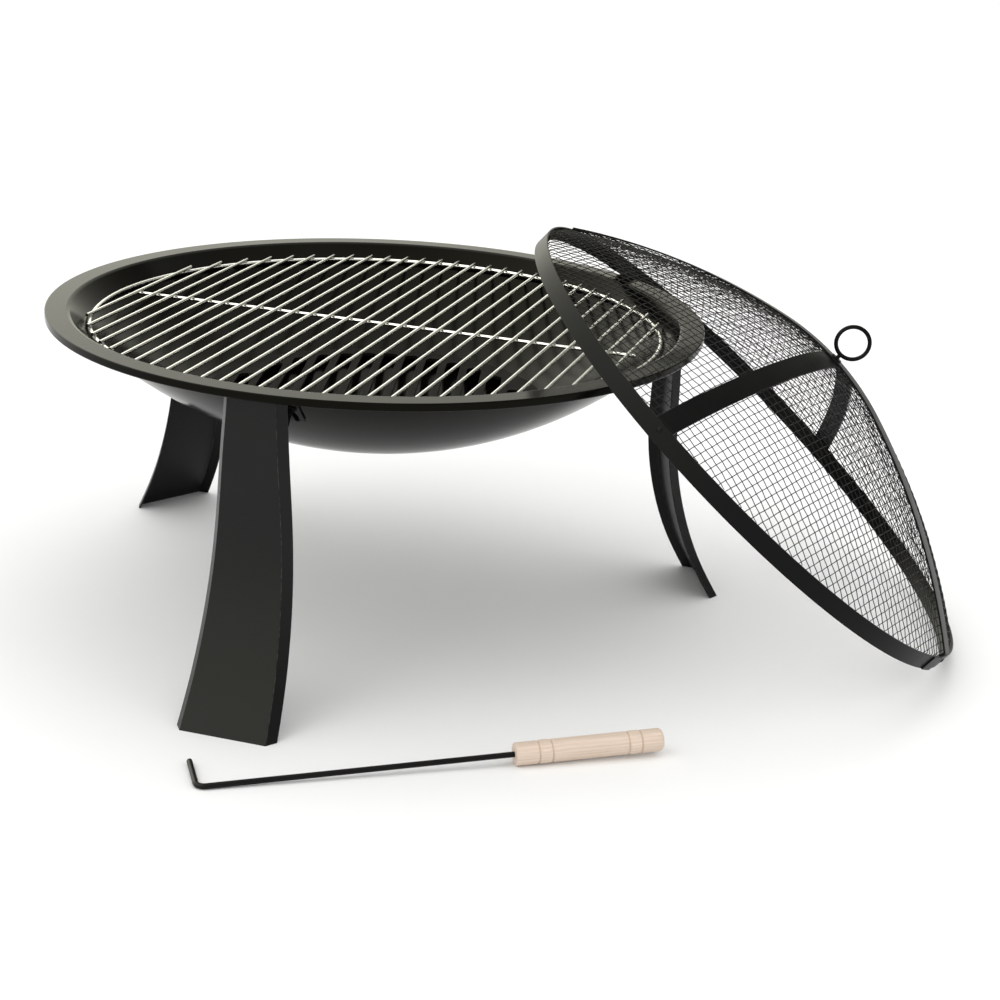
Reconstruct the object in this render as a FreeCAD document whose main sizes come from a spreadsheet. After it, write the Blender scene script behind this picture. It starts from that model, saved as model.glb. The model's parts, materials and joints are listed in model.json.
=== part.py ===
import FreeCAD, Part
import os
import re

import Sketcher
from FreeCAD import Placement, Rotation, Vector

# A round fire bowl on three folded sheet-steel legs, with a fire grate, a chrome cooking grate,
# a domed mesh lid that leans on the bowl's rim, and a poker that lies on the floor.
# Everything is in millimetres. The bowl's axis is Z and the floor is at height 0 while the set is
# built; at the end the whole set is moved so that its footprint is centred on the origin.

SIZES = {
    # bowl
    "rim_radius": 380,
    "rim_height": 359,
    "bowl_bottom": 207,
    "bowl_curve": 492,
    "bowl_sheet": 1.5,
    "lip_drop": 7,
    "bead_radius": 2,
    "rim_inner_fillet": 6,
    "rim_outer_fillet": 1.2,
    # grates
    "grate_radius": 330,
    "grate_level": 341.2,
    "grate_ring_wire": 2.5,
    "grate_bar_wire": 2,
    "grate_bar_pitch": 22.5,
    "grate_bar_count": 28,
    "grate_bar_overhang": 3.5,
    "grate_crossbar_half": 310,
    "grate_turn": -20,
    "fire_grate_radius": 200,
    "fire_grate_border": 22,
    "fire_grate_sheet": 4,
    "fire_grate_gap": 0.6,
    "fire_slot_width": 18,
    "fire_slot_pitch": 27,
    "fire_slot_count": 13,
    "fire_grate_turn": -6,
    # legs and what holds them
    "leg_angle": -110,
    "leg_radius": 366,
    "leg_top": 354,
    "leg_foot_half": 48.5,
    "leg_top_half": 26,
    "leg_sheet": 2,
    "flange_depth": 11.7,
    "flange_splay": 8.1,
    "flare_curve": 405,
    "flare_start": 220,
    "seat_gap": 0.2,
    "bracket_sheet": 2,
    "bracket_low": 306,
    "bracket_high": 344,
    "bracket_reach": 362.9,
    "bracket_span": 13,
    "bracket_tongue_half": 22,
    "bracket_tongue_start": 351,
    "bolt_reach": 328,
    "bolt_turn": 4.75,
    "bolt_radius": 3,
    "bolt_hole_radius": 3.3,
    "bolt_tail": 22,
    "bolt_head_radius": 6.5,
    "bolt_head_height": 3.4,
    "bolt_tail_chamfer": 0.6,
    "washer_radius": 7,
    "washer_sheet": 1.4,
    "wing_hub_radius": 5.5,
    "wing_hub_height": 6,
    "wing_span": 13.5,
    "wing_rise": 11,
    "wing_sheet": 2.2,
    "wing_hub_taper": 1,
    "wing_root_overlap": 1.2,
    "wing_root_lift": 0.8,
    "wing_root_drop": 0.5,
    "wing_shoulder": 3,
    "wing_tip_width": 4.5,
    # lid
    "lid_distance": 434,
    "lid_bearing": -7.1,
    "lid_tilt": 49,
    "band_radius": 338,
    "band_height": 20,
    "band_sheet": 1.8,
    "band_lap_angle": 5,
    "band_lap_bearing": 237,
    "mesh_edge_radius": 334,
    "mesh_sheet": 1.2,
    "mesh_tuck": 12,
    "mesh_edge_land": 0.01,
    "crown_reach": 80,
    "crown_slope": 14.5,
    "edge_slope": 35,
    "strap_width": 25,
    "strap_sheet": 2,
    "strap_tuck": 14,
    "strap_bearing": 154,
    "rivet_radius": 2,
    "rivet_head_radius": 3.6,
    "rivet_head_height": 1.4,
    "rivet_level": 13,
    "handle_loop_radius": 19.2,
    "handle_wire": 2.4,
    "handle_lift": 26,
    "handle_shank_depth": 14,
    "handle_nut_half": 5,
    "handle_nut_height": 5,
    # poker
    "poker_rod": 3,
    "poker_length": 323,
    "poker_hook": 57,
    "poker_bend": 9,
    "poker_tang": 45,
    "poker_bearing": 12.4,
    "poker_bend_x": -163,
    "poker_bend_y": -520,
    "poker_handle_radius": 12,
    "poker_handle_length": 159,
    "poker_handle_rounding": 1.5,
    "poker_butt_rounding": 5,
    "poker_groove_depth": 1,
    "poker_groove_half": 1.3,
    "poker_groove_inset": 24.5,
    "poker_groove_spacing": 14,
    "poker_band_swell": 0.4,
    "floor_gap": 0.05,
}

LEG_NAMES = ["front", "right", "rear"]
LEG_STEP = 120
LEG_SECTIONS = 8
FULL_TURN = 360
NEARLY_NOTHING = 1e-6
SAME_LENGTH = 0.01

doc = FreeCAD.newDocument("FirePit")
sheet = doc.addObject("Spreadsheet::Sheet", "Sizes")
for row, (alias, number) in enumerate(SIZES.items(), start=1):
    sheet.set(f"A{row}", alias)
    sheet.set(f"B{row}", str(number))
    sheet.setAlias(f"B{row}", alias)
doc.recompute()

# Lengths that several pieces share, as formulas of the sheet's cells.
BOWL_CENTRE = "(bowl_bottom + bowl_curve)"
CROWN_CURVE = "(crown_reach / sin(crown_slope))"
SIDE_CURVE = "((mesh_edge_radius - crown_reach) / (sin(edge_slope) - sin(crown_slope)))"
SIDE_CENTRE_X = f"(crown_reach - {SIDE_CURVE} * sin(crown_slope))"
CROWN_LEVEL = f"(band_height + {SIDE_CURVE} * (cos(crown_slope) - cos(edge_slope)))"
APEX_LEVEL = f"({CROWN_LEVEL} + {CROWN_CURVE} * (1 - cos(crown_slope)))"
UPPER_STRAP_LIFT = "(strap_sheet + seat_gap)"
STRAPS_TOP = f"({APEX_LEVEL} + {UPPER_STRAP_LIFT} + strap_sheet)"

nodes = {}


def formula(text):
    """Point every size in a formula at its cell in the sheet."""
    def cell(match):
        word = match.group(0)
        return f"Sizes.{word}" if word in SIZES else word
    return re.sub(r"[a-z]+(?:_[a-z]+)+", cell, text)


def value(text):
    """Work out a formula's number."""
    return float(sheet.evalExpression(formula(text)))


def bind(item, **formulas):
    """Bind an object's properties to formulas."""
    for name, text in formulas.items():
        item.setExpression(name, formula(text))
    return item


def keep(name, item, placement=None):
    """Name a finished sub-part and put it in its place."""
    item.Label = name
    if placement is not None:
        item.Placement = placement
    nodes[name] = item
    return item


def turned(angle, about=Vector(0, 0, 1), at=Vector(0, 0, 0)):
    """A placement turned by an angle about an axis."""
    return Placement(at, Rotation(about, angle))


def origin_item(body, role):
    """One of a body's own origin planes or axes."""
    return next(item for item in body.Origin.OriginFeatures if item.Role == role)


def new_sketch(body, name, plane, level="0"):
    """A sketch on one of the body's own planes, at a level above it."""
    sketch = body.newObject("Sketcher::SketchObject", name)
    sketch.AttachmentSupport = [(origin_item(body, plane), "")]
    sketch.MapMode = "FlatFace"
    bind(sketch, **{"AttachmentOffset.Base.z": level})
    return sketch


def hold(sketch, kind, geometry, point, text):
    """Fix a point's distance from the sketch's origin, along x or y, with a formula."""
    number = value(text)
    constraint = Sketcher.Constraint(kind, -1, 1, geometry, point, number)
    index = sketch.addConstraint(constraint)
    sketch.setExpression(f"Constraints[{index}]", formula(text))


def end_at(sketch, geometry, corner):
    """Which end of a line or arc lies at a corner: 1 is its start and 2 is its end."""
    gaps = {end: (sketch.getPoint(geometry, end) - corner).Length for end in (1, 2)}
    return min(gaps, key=gaps.get)


def draw_outline(sketch, points, arcs=None, closed=True):
    """Draw an outline from corners given as pairs of formulas.

    arcs maps a side's number to (centre x, centre y, held): the formulas of its centre, and
    which of the two is held, "x" or "y". The other follows from the side's two corners.
    A half circle bulges to the right of the way from its first corner to its second.
    """
    arcs = arcs or {}
    corners = [Vector(value(x), value(y), 0) for x, y in points]
    sides = len(corners) if closed else len(corners) - 1
    first = sketch.GeometryCount
    for side in range(sides):
        start = corners[side]
        end = corners[(side + 1) % len(corners)]
        if side in arcs:
            centre = Vector(value(arcs[side][0]), value(arcs[side][1]), 0)
            out = (start + end) / 2 - centre
            if out.Length < NEARLY_NOTHING:
                out = Vector(end.y - start.y, start.x - end.x, 0)
            reach = (start - centre).Length
            sketch.addGeometry(Part.Arc(start, centre + out.normalize() * reach, end))
        else:
            sketch.addGeometry(Part.LineSegment(start, end))
    for number, (x, y) in enumerate(points):
        here = first + min(number, sides - 1)
        here_end = end_at(sketch, here, corners[number])
        if number > 0 or closed:
            before = first + (number - 1) % sides
            if before != here:
                before_end = end_at(sketch, before, corners[number])
                sketch.addConstraint(
                    Sketcher.Constraint("Coincident", before, before_end, here, here_end))
        hold(sketch, "DistanceX", here, here_end, x)
        hold(sketch, "DistanceY", here, here_end, y)
    for side, (x, y, held) in arcs.items():
        if held == "x":
            hold(sketch, "DistanceX", first + side, 3, x)
        else:
            hold(sketch, "DistanceY", first + side, 3, y)
    return sketch


def draw_circle(sketch, radius, x="0", y="0"):
    """Draw a circle with its centre and radius held by formulas."""
    centre = Vector(value(x), value(y), 0)
    index = sketch.addGeometry(Part.Circle(centre, Vector(0, 0, 1), value(radius)))
    hold(sketch, "DistanceX", index, 3, x)
    hold(sketch, "DistanceY", index, 3, y)
    held = sketch.addConstraint(Sketcher.Constraint("Radius", index, value(radius)))
    sketch.setExpression(f"Constraints[{held}]", formula(radius))
    return sketch


def new_body(name):
    """An empty body."""
    return doc.addObject("PartDesign::Body", name)


def revolve(body, sketch, axis="Z_Axis", angle=FULL_TURN, both_ways=False):
    """Revolve a sketch about one of the body's axes."""
    feature = body.newObject("PartDesign::Revolution", f"{sketch.Name}_turned")
    feature.Profile = sketch
    feature.ReferenceAxis = (origin_item(body, axis), [""])
    feature.Angle = angle
    feature.Midplane = both_ways
    sketch.Visibility = False
    return feature


def pad(body, sketch, length, both_ways=False):
    """Pad a sketch to a solid."""
    feature = body.newObject("PartDesign::Pad", f"{sketch.Name}_pad")
    feature.Profile = sketch
    bind(feature, Length=length)
    feature.Midplane = both_ways
    return feature


def pocket(body, sketch):
    """Cut a sketch right through the body, both ways, and make sure that it cuts."""
    before = body.Shape.Volume
    feature = body.newObject("PartDesign::Pocket", f"{sketch.Name}_cut")
    feature.Profile = sketch
    feature.Type = "ThroughAll"
    feature.Midplane = True
    doc.recompute()
    if feature.Shape.Volume >= before:
        raise RuntimeError(f"{feature.Name} cuts nothing")
    return feature


def fillet_circles(body, name, radius, circles):
    """Round the circular edges of the body's tip whose radius and level match."""
    doc.recompute()
    base = body.Tip
    wanted = [(value(reach), value(level)) for reach, level in circles]
    edges = []
    for number, edge in enumerate(base.Shape.Edges, start=1):
        if edge.Degenerated or not isinstance(edge.Curve, Part.Circle):
            continue
        curve = edge.Curve
        for reach, level in wanted:
            gap = max(abs(curve.Radius - reach), abs(curve.Center.z - level))
            if gap < SAME_LENGTH:
                edges.append(f"Edge{number}")
    if len(edges) != len(circles):
        raise RuntimeError(f"{name} found {len(edges)} edges for {len(circles)} circles")
    feature = body.newObject("PartDesign::Fillet", name)
    feature.Base = (base, edges)
    bind(feature, Radius=radius)
    return feature


def cylinder(name, radius, height, placement=None):
    """A cylinder that stands on its placement."""
    item = bind(doc.addObject("Part::Cylinder", name), Radius=radius, Height=height)
    if placement is not None:
        item.Placement = placement
    return item


def group(name, items):
    """Separate solids kept together as one object."""
    compound = doc.addObject("Part::Compound", name)
    compound.Links = items
    return compound


def drill(name, base, tools):
    """Cut tools out of a solid."""
    cut = doc.addObject("Part::Cut", name)
    cut.Base = base
    cut.Tool = tools
    return cut


def bowl_level(radius, curve="bowl_curve"):
    """The level of a bowl surface of a given curve at a distance from the axis."""
    return f"({BOWL_CENTRE} - sqrt(({curve})^2 - ({radius})^2))"


def bowl_reach(level, curve="bowl_curve"):
    """The distance from the axis at which a bowl surface comes up to a level."""
    return f"sqrt(({curve})^2 - ({BOWL_CENTRE} - ({level}))^2)"


def leg_bearings():
    """Each leg's name with its bearing about the bowl's axis."""
    return [(name, value("leg_angle") + LEG_STEP * number) for number, name in enumerate(LEG_NAMES)]


def bolt_seats():
    """Where the two bolts of a leg on the X axis cross the bowl's outside.

    Each seat's own Z points straight in through the wall and its own X lies level.
    """
    seats = []
    reach = value("bolt_reach")
    centre = Vector(0, 0, value(BOWL_CENTRE))
    for side in (-1, 1):
        swing = Rotation(Vector(0, 0, 1), side * value("bolt_turn"))
        point = swing.multVec(Vector(reach, 0, value(bowl_level("bolt_reach"))))
        inward = centre - point
        level = swing.multVec(Vector(0, 1, 0))
        seats.append(Placement(point, Rotation(level, Vector(), inward, "ZXY")))
    return seats


def bolt_holes(name, bearings):
    """Drills for the bolt holes of legs on the given bearings."""
    drills = []
    depth = value("bolt_tail")
    for number, bearing in enumerate(bearings):
        for side, seat in enumerate(bolt_seats()):
            start = turned(bearing) * seat * Placement(Vector(0, 0, -depth), Rotation())
            drills.append(cylinder(f"{name}_{number}_{side}", "bolt_hole_radius",
                                   "2 * bolt_tail", start))
    return group(name, drills)


def make_bowl():
    """The pressed bowl: a dish, a flat rim and a turned-down edge that ends in a bead."""
    body = new_body("bowl_pressing")
    inner_curve = "bowl_curve - bowl_sheet"
    under = "rim_height - bowl_sheet"
    inside_lip = "rim_radius - bowl_sheet"
    lip_level = "rim_height - lip_drop"
    points = [
        ("0", "bowl_bottom"),
        (bowl_reach(under), under),
        (inside_lip, under),
        (inside_lip, lip_level),
        ("rim_radius", lip_level),
        ("rim_radius", "rim_height"),
        (bowl_reach("rim_height", inner_curve), "rim_height"),
        ("0", "bowl_bottom + bowl_sheet"),
    ]
    arcs = {0: ("0", BOWL_CENTRE, "x"), 6: ("0", BOWL_CENTRE, "x")}
    section = draw_outline(new_sketch(body, "bowl_section", "XZ_Plane"), points, arcs)
    revolve(body, section)
    fillet_circles(body, "rim_inner_round", "rim_inner_fillet",
                   [(bowl_reach("rim_height", inner_curve), "rim_height")])
    fillet_circles(body, "rim_under_round", "rim_inner_fillet - bowl_sheet",
                   [(bowl_reach(under), under)])
    fillet_circles(body, "rim_outer_round", "rim_outer_fillet", [("rim_radius", "rim_height")])
    bead = draw_circle(new_sketch(body, "bead_section", "XZ_Plane"),
                       "bead_radius", "rim_radius - bead_radius", lip_level)
    revolve(body, bead)
    bearings = [bearing for name, bearing in leg_bearings()]
    keep("bowl", drill("bowl_drilled", body, bolt_holes("bowl_bolt_holes", bearings)))


def make_cooking_grate():
    """A wire hoop, straight bars laid over it and one crossbar under the bars."""
    turn = turned(value("grate_turn"))
    ring = bind(doc.addObject("Part::Torus", "grate_hoop"),
                Radius1="grate_radius", Radius2="grate_ring_wire")
    level = Vector(0, 0, value("grate_level"))
    keep("cooking_grate_ring", ring, Placement(level, Rotation()))

    bars = []
    count = int(value("grate_bar_count"))
    bar_level = value("grate_level + grate_ring_wire + grate_bar_wire")
    for number in range(count):
        across = f"({number} - (grate_bar_count - 1) / 2) * grate_bar_pitch"
        half = f"sqrt((grate_radius + grate_bar_overhang)^2 - ({across})^2)"
        start = Vector(value(across), -value(half), bar_level)
        bars.append(cylinder(f"grate_bar_{number}", "grate_bar_wire", f"2 * {half}",
                             Placement(start, Rotation(Vector(1, 0, 0), -90))))
    keep("cooking_grate_bars", group("grate_bars", bars), turn)

    start = Vector(-value("grate_crossbar_half"), 0,
                   value("grate_level + grate_ring_wire - grate_bar_wire"))
    crossbar = cylinder("grate_crossbar", "grate_bar_wire", "2 * grate_crossbar_half")
    keep("cooking_grate_crossbar", crossbar,
         turn * Placement(start, Rotation(Vector(0, 1, 0), 90)))


def make_fire_grate():
    """A round plate with parallel slots, which rests on the bowl's wall by its edge."""
    body = new_body("fire_grate_plate")
    disc = draw_circle(new_sketch(body, "fire_grate_disc", "XY_Plane"), "fire_grate_radius")
    pad(body, disc, "fire_grate_sheet")
    doc.recompute()
    slots = new_sketch(body, "fire_grate_slots", "XY_Plane")
    count = int(value("fire_slot_count"))
    for number in range(count):
        across = f"({number} - (fire_slot_count - 1) / 2) * fire_slot_pitch"
        near = f"{across} - fire_slot_width / 2"
        far = f"{across} + fire_slot_width / 2"
        widest = f"(abs({across}) + fire_slot_width / 2)"
        half = (f"(sqrt((fire_grate_radius - fire_grate_border)^2 - {widest}^2)"
                " - fire_slot_width / 4)")
        points = [(near, f"-{half}"), (far, f"-{half}"), (far, half), (near, half)]
        arcs = {0: (across, f"-{half}", "y"), 2: (across, half, "y")}
        draw_outline(slots, points, arcs)
    pocket(body, slots)
    level = value(f"{bowl_level('fire_grate_radius', 'bowl_curve - bowl_sheet')} + fire_grate_gap")
    keep("fire_grate", body, turned(value("fire_grate_turn"), at=Vector(0, 0, level)))


def leg_section(level):
    """The folded channel's outline at a level: a panel with two splayed flanges."""
    drop = f"max(0; flare_start - ({level}))"
    face = f"(leg_radius + flare_curve - sqrt(flare_curve^2 - ({drop})^2))"
    half = f"(leg_foot_half + (leg_top_half - leg_foot_half) * ({level}) / leg_top)"
    flange = "sqrt(flange_depth^2 + flange_splay^2)"
    tip_in = f"{face} - flange_depth - leg_sheet * flange_splay / {flange}"
    tip_side = f"({half} + flange_splay - leg_sheet * flange_depth / {flange})"
    fold_side = f"({half} - leg_sheet * ({flange} - flange_splay) / flange_depth)"
    return [
        (f"{face} - flange_depth", f"-({half} + flange_splay)"),
        (face, f"-{half}"),
        (face, half),
        (f"{face} - flange_depth", f"{half} + flange_splay"),
        (tip_in, tip_side),
        (f"{face} - leg_sheet", fold_side),
        (f"{face} - leg_sheet", f"-{fold_side}"),
        (tip_in, f"-{tip_side}"),
    ]


def make_leg(name, bearing):
    """A folded sheet channel that stands upright under the rim and flares out to the floor."""
    body = new_body(f"{name}_leg_channel")
    sections = []
    for number in range(LEG_SECTIONS):
        level = f"leg_top * {number} / {LEG_SECTIONS - 1}"
        sketch = new_sketch(body, f"{name}_leg_section_{number}", "XY_Plane", level)
        sections.append(draw_outline(sketch, leg_section(level)))
    loft = body.newObject("PartDesign::AdditiveLoft", f"{name}_leg_loft")
    loft.Profile = sections[0]
    loft.Sections = sections[1:]
    loft.Ruled = False
    keep(f"{name}_leg", body, turned(bearing))


def make_bracket(name, bearing):
    """A bent plate: its wide pad follows the bowl's wall and its tongue reaches the leg's panel."""
    body = new_body(f"{name}_bracket_plate")
    inner = "bowl_curve + seat_gap"
    outer = "bowl_curve + seat_gap + bracket_sheet"
    top = bowl_level("bracket_high", inner)
    under = f"{top} - bracket_sheet"
    points = [
        ("bracket_low", bowl_level("bracket_low", inner)),
        ("bracket_high", top),
        ("bracket_reach", top),
        ("bracket_reach", under),
        (bowl_reach(under, outer), under),
        ("bracket_low", bowl_level("bracket_low", outer)),
    ]
    arcs = {0: ("0", BOWL_CENTRE, "x"), 4: ("0", BOWL_CENTRE, "x")}
    section = draw_outline(new_sketch(body, f"{name}_bracket_section", "XZ_Plane"), points, arcs)
    revolve(body, section, angle=value("bracket_span"), both_ways=True)
    doc.recompute()
    sides = new_sketch(body, f"{name}_bracket_sides", "XY_Plane")
    for side in ("", "-"):
        draw_outline(sides, [
            ("bracket_tongue_start", f"{side}bracket_tongue_half"),
            ("rim_radius", f"{side}bracket_tongue_half"),
            ("rim_radius", f"{side}rim_radius"),
            ("bracket_tongue_start", f"{side}rim_radius"),
        ])
    pocket(body, sides)
    holes = bolt_holes(f"{name}_bracket_holes", [0])
    keep(f"{name}_leg_bracket", drill(f"{name}_bracket_drilled", body, holes), turned(bearing))


def fastener_pair(node, bearing, make_one):
    """One fastener at each of a leg's two bolt seats, kept as one node."""
    pair = []
    for number, seat in enumerate(bolt_seats()):
        body = make_one(f"{node}_{number}")
        body.Placement = seat
        pair.append(body)
    keep(node, group(f"{node}_pair", pair), turned(bearing))


def bolt(name):
    """A round-headed bolt with its head inside the bowl and its tail outside."""
    body = new_body(name)
    seat = "bowl_sheet + seat_gap / 2"
    crown = f"{seat} + bolt_head_height"
    dome = "((bolt_head_radius^2 + bolt_head_height^2) / (2 * bolt_head_height))"
    points = [
        ("0", "-bolt_tail"),
        ("bolt_radius - bolt_tail_chamfer", "-bolt_tail"),
        ("bolt_radius", "bolt_tail_chamfer - bolt_tail"),
        ("bolt_radius", seat),
        ("bolt_head_radius", seat),
        ("0", crown),
    ]
    section = draw_outline(new_sketch(body, f"{name}_section", "XZ_Plane"), points,
                           {4: ("0", f"{crown} - {dome}", "x")})
    revolve(body, section)
    return body


def washer(name):
    """A flat washer under the wing nut."""
    body = new_body(name)
    sketch = new_sketch(body, f"{name}_section", "XY_Plane",
                        "-(1.5 * seat_gap + bracket_sheet + washer_sheet)")
    draw_circle(sketch, "washer_radius")
    draw_circle(sketch, "bolt_hole_radius")
    pad(body, sketch, "washer_sheet")
    return body


def wing_nut(name):
    """A tapered hub with two wings that sweep out and away from the wall."""
    body = new_body(name)
    seat = "-(2 * seat_gap + bracket_sheet + washer_sheet)"
    end = f"{seat} - wing_hub_height"
    hub = [
        ("bolt_radius", seat),
        ("wing_hub_radius", seat),
        ("wing_hub_radius - wing_hub_taper", end),
        ("bolt_radius", end),
    ]
    revolve(body, draw_outline(new_sketch(body, f"{name}_hub", "XZ_Plane"), hub))
    root = "wing_hub_radius - wing_root_overlap"
    wing = [
        (root, f"{seat} - wing_root_lift"),
        ("wing_span - wing_shoulder", f"{seat} - wing_rise / 2"),
        ("wing_span", f"{seat} - wing_rise"),
        ("wing_span - wing_tip_width", f"{seat} - wing_rise"),
        (root, f"{end} + wing_root_drop"),
    ]
    sketch = draw_outline(new_sketch(body, f"{name}_wing", "XZ_Plane"), wing)
    right = pad(body, sketch, "wing_sheet", both_ways=True)
    mirror = body.newObject("PartDesign::Mirrored", f"{name}_wings")
    mirror.Originals = [right]
    mirror.MirrorPlane = (origin_item(body, "YZ_Plane"), [""])
    body.Tip = mirror
    return body


def shell_outline(low, high, skirt_in, sheet, tuck):
    """Section of a shell that follows the lid's dome between two heights over the mesh.

    Below the dome's edge it turns straight down inside the band, as far as the tuck. There it
    is as thick as its sheet, outwards from skirt_in.
    """
    def at(reach, level, slope, lift):
        return (f"{reach} + ({lift}) * sin({slope})", f"{level} + ({lift}) * cos({slope})")

    skirt_out = f"{skirt_in} + {sheet}"
    tuck_level = f"band_height - {tuck}"
    points = [
        (skirt_in, tuck_level),
        (skirt_out, tuck_level),
        (skirt_out, "band_height"),
        at("mesh_edge_radius", "band_height + mesh_edge_land", "edge_slope", high),
        at("crown_reach", CROWN_LEVEL, "crown_slope", high),
        ("0", f"{APEX_LEVEL} + ({high})"),
        ("0", f"{APEX_LEVEL} + ({low})"),
        at("crown_reach", CROWN_LEVEL, "crown_slope", low),
        at("mesh_edge_radius", "band_height", "edge_slope", low),
        (skirt_in, "band_height - mesh_sheet"),
    ]
    side_centre = (SIDE_CENTRE_X, f"(band_height - {SIDE_CURVE} * cos(edge_slope))", "x")
    crown_centre = ("0", f"({APEX_LEVEL} - {CROWN_CURVE})", "x")
    arcs = {3: side_centre, 4: crown_centre, 6: crown_centre, 7: side_centre}
    return points, arcs


def lid_holes(name, bearings):
    """Drills through the lid: one at the apex and one at each end of the given straps."""
    shank_hole = "handle_wire + seat_gap"
    apex = Placement(Vector(0, 0, value("band_height")), Rotation())
    drills = [cylinder(f"{name}_apex", shank_hole, APEX_LEVEL, apex)]
    for number, seat in enumerate(rivet_seats(bearings)):
        drills.append(cylinder(f"{name}_{number}", "rivet_radius + seat_gap / 2",
                               "2 * strap_width", seat))
    return group(name, drills)


def rivet_seats(bearings):
    """Where rivets start, inside the band, with their own Z pointing out."""
    seats = []
    for bearing in bearings:
        for end in (0, FULL_TURN / 2):
            out = Rotation(Vector(0, 0, 1), bearing + end)
            start = Vector(value("mesh_edge_radius - strap_sheet"), 0, value("rivet_level"))
            seats.append(Placement(out.multVec(start), out * Rotation(Vector(0, 1, 0), 90)))
    return seats


def strap_bearings():
    """The bearings of the two straps about the lid's axis."""
    long_way = value("strap_bearing")
    return [long_way, long_way - FULL_TURN / 4]


def make_band(lid):
    """A flat hoop whose ends lap."""
    body = new_body("lid_hoop")
    inner = "band_radius - band_sheet"
    ring = new_sketch(body, "lid_hoop_section", "XY_Plane")
    draw_circle(ring, "band_radius")
    draw_circle(ring, inner)
    pad(body, ring, "band_height")
    lap = draw_outline(new_sketch(body, "lid_lap_section", "XZ_Plane"), [
        ("band_radius - band_sheet / 2", "0"),
        ("band_radius + band_sheet", "0"),
        ("band_radius + band_sheet", "band_height"),
        ("band_radius - band_sheet / 2", "band_height"),
    ])
    revolve(body, lap, angle=value("band_lap_angle"), both_ways=True)
    body.Placement = turned(value("band_lap_bearing"))
    keep("lid_band", drill("lid_band_drilled", body, lid_holes("band_holes", strap_bearings())), lid)


def make_mesh(lid):
    """The mesh dome, as the thin shell that its wires lie in."""
    body = new_body("lid_mesh_shell")
    points, arcs = shell_outline("-mesh_sheet", "0", "mesh_edge_radius - mesh_sheet",
                                 "mesh_sheet", "mesh_tuck")
    section = draw_outline(new_sketch(body, "lid_mesh_section", "XZ_Plane"), points, arcs)
    revolve(body, section)
    keep("lid_mesh", drill("lid_mesh_drilled", body, lid_holes("mesh_holes", strap_bearings())), lid)


def make_strap(lid, node, bearing, lift):
    """A flat strap over the mesh, from the inside of the band up over the apex and down."""
    body = new_body(f"{node}_shell")
    low = f"{lift} + seat_gap / 2"
    points, arcs = shell_outline(low, f"{low} + strap_sheet", "mesh_edge_radius",
                                 "strap_sheet", "strap_tuck")
    section = draw_outline(new_sketch(body, f"{node}_section", "XZ_Plane"), points, arcs)
    revolve(body, section)
    strip = bind(doc.addObject("Part::Box", f"{node}_strip"),
                 Length="2 * band_radius", Width="strap_width", Height="band_radius")
    strip.Placement = turned(bearing) * Placement(
        Vector(-value("band_radius"), -value("strap_width / 2"), 0), Rotation())
    common = doc.addObject("Part::Common", f"{node}_cut_out")
    common.Base = body
    common.Tool = strip
    keep(node, drill(f"{node}_drilled", common, lid_holes(f"{node}_holes", [bearing])), lid)


def rivet(name):
    """A rivet that joins mesh, strap and band, with a low head on the outside."""
    body = new_body(name)
    out = "(band_radius - mesh_edge_radius + strap_sheet + seat_gap / 2)"
    crown = f"{out} + rivet_head_height"
    dome = "((rivet_head_radius^2 + rivet_head_height^2) / (2 * rivet_head_height))"
    points = [
        ("0", "0"),
        ("rivet_radius", "0"),
        ("rivet_radius", out),
        ("rivet_head_radius", out),
        ("0", crown),
    ]
    section = draw_outline(new_sketch(body, f"{name}_section", "XZ_Plane"), points,
                           {3: ("0", f"{crown} - {dome}", "x")})
    revolve(body, section)
    return body


def make_rivets(lid):
    """Four rivets, one at each strap end."""
    rivets = []
    for number, seat in enumerate(rivet_seats(strap_bearings())):
        body = rivet(f"lid_rivet_{number}")
        body.Placement = seat
        rivets.append(body)
    keep("lid_rivets", group("lid_rivet_set", rivets), lid)


def make_handle(lid):
    """A wire loop on a threaded shank, with a washer over the straps and a nut under the mesh."""
    loop_level = f"{STRAPS_TOP} + handle_lift"
    loop = bind(doc.addObject("Part::Torus", "handle_loop"),
                Radius1="handle_loop_radius", Radius2="handle_wire")
    loop.Placement = turned(90, Vector(1, 0, 0), Vector(0, 0, value(loop_level)))
    shank_length = "handle_lift - handle_loop_radius + strap_sheet * 2 + handle_shank_depth"
    low = f"{loop_level} - handle_loop_radius - ({shank_length})"
    shank = cylinder("handle_shank", "handle_wire", shank_length,
                     Placement(Vector(0, 0, value(low)), Rotation()))
    joined = doc.addObject("Part::Fuse", "handle_joined")
    joined.Base = loop
    joined.Tool = shank
    facing = turned(FULL_TURN / 4)
    keep("lid_handle_ring", joined, lid * facing)

    plate = new_body("handle_washer_plate")
    sketch = new_sketch(plate, "handle_washer_section", "XY_Plane", f"{STRAPS_TOP} + seat_gap")
    draw_circle(sketch, "washer_radius")
    draw_circle(sketch, "handle_wire")
    pad(plate, sketch, "washer_sheet")
    keep("lid_handle_washer", plate, lid)

    nut = new_body("handle_nut_block")
    corner = "handle_nut_half / cos(30)"
    sketch = new_sketch(nut, "handle_nut_section", "XY_Plane",
                        f"{APEX_LEVEL} - mesh_sheet - seat_gap - handle_nut_height")
    hexagon = [(f"{corner} * cos({60 * step})", f"{corner} * sin({60 * step})") for step in range(6)]
    draw_outline(sketch, hexagon)
    draw_circle(sketch, "handle_wire")
    pad(nut, sketch, "handle_nut_height")
    keep("lid_handle_nut", nut, lid)


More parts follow.
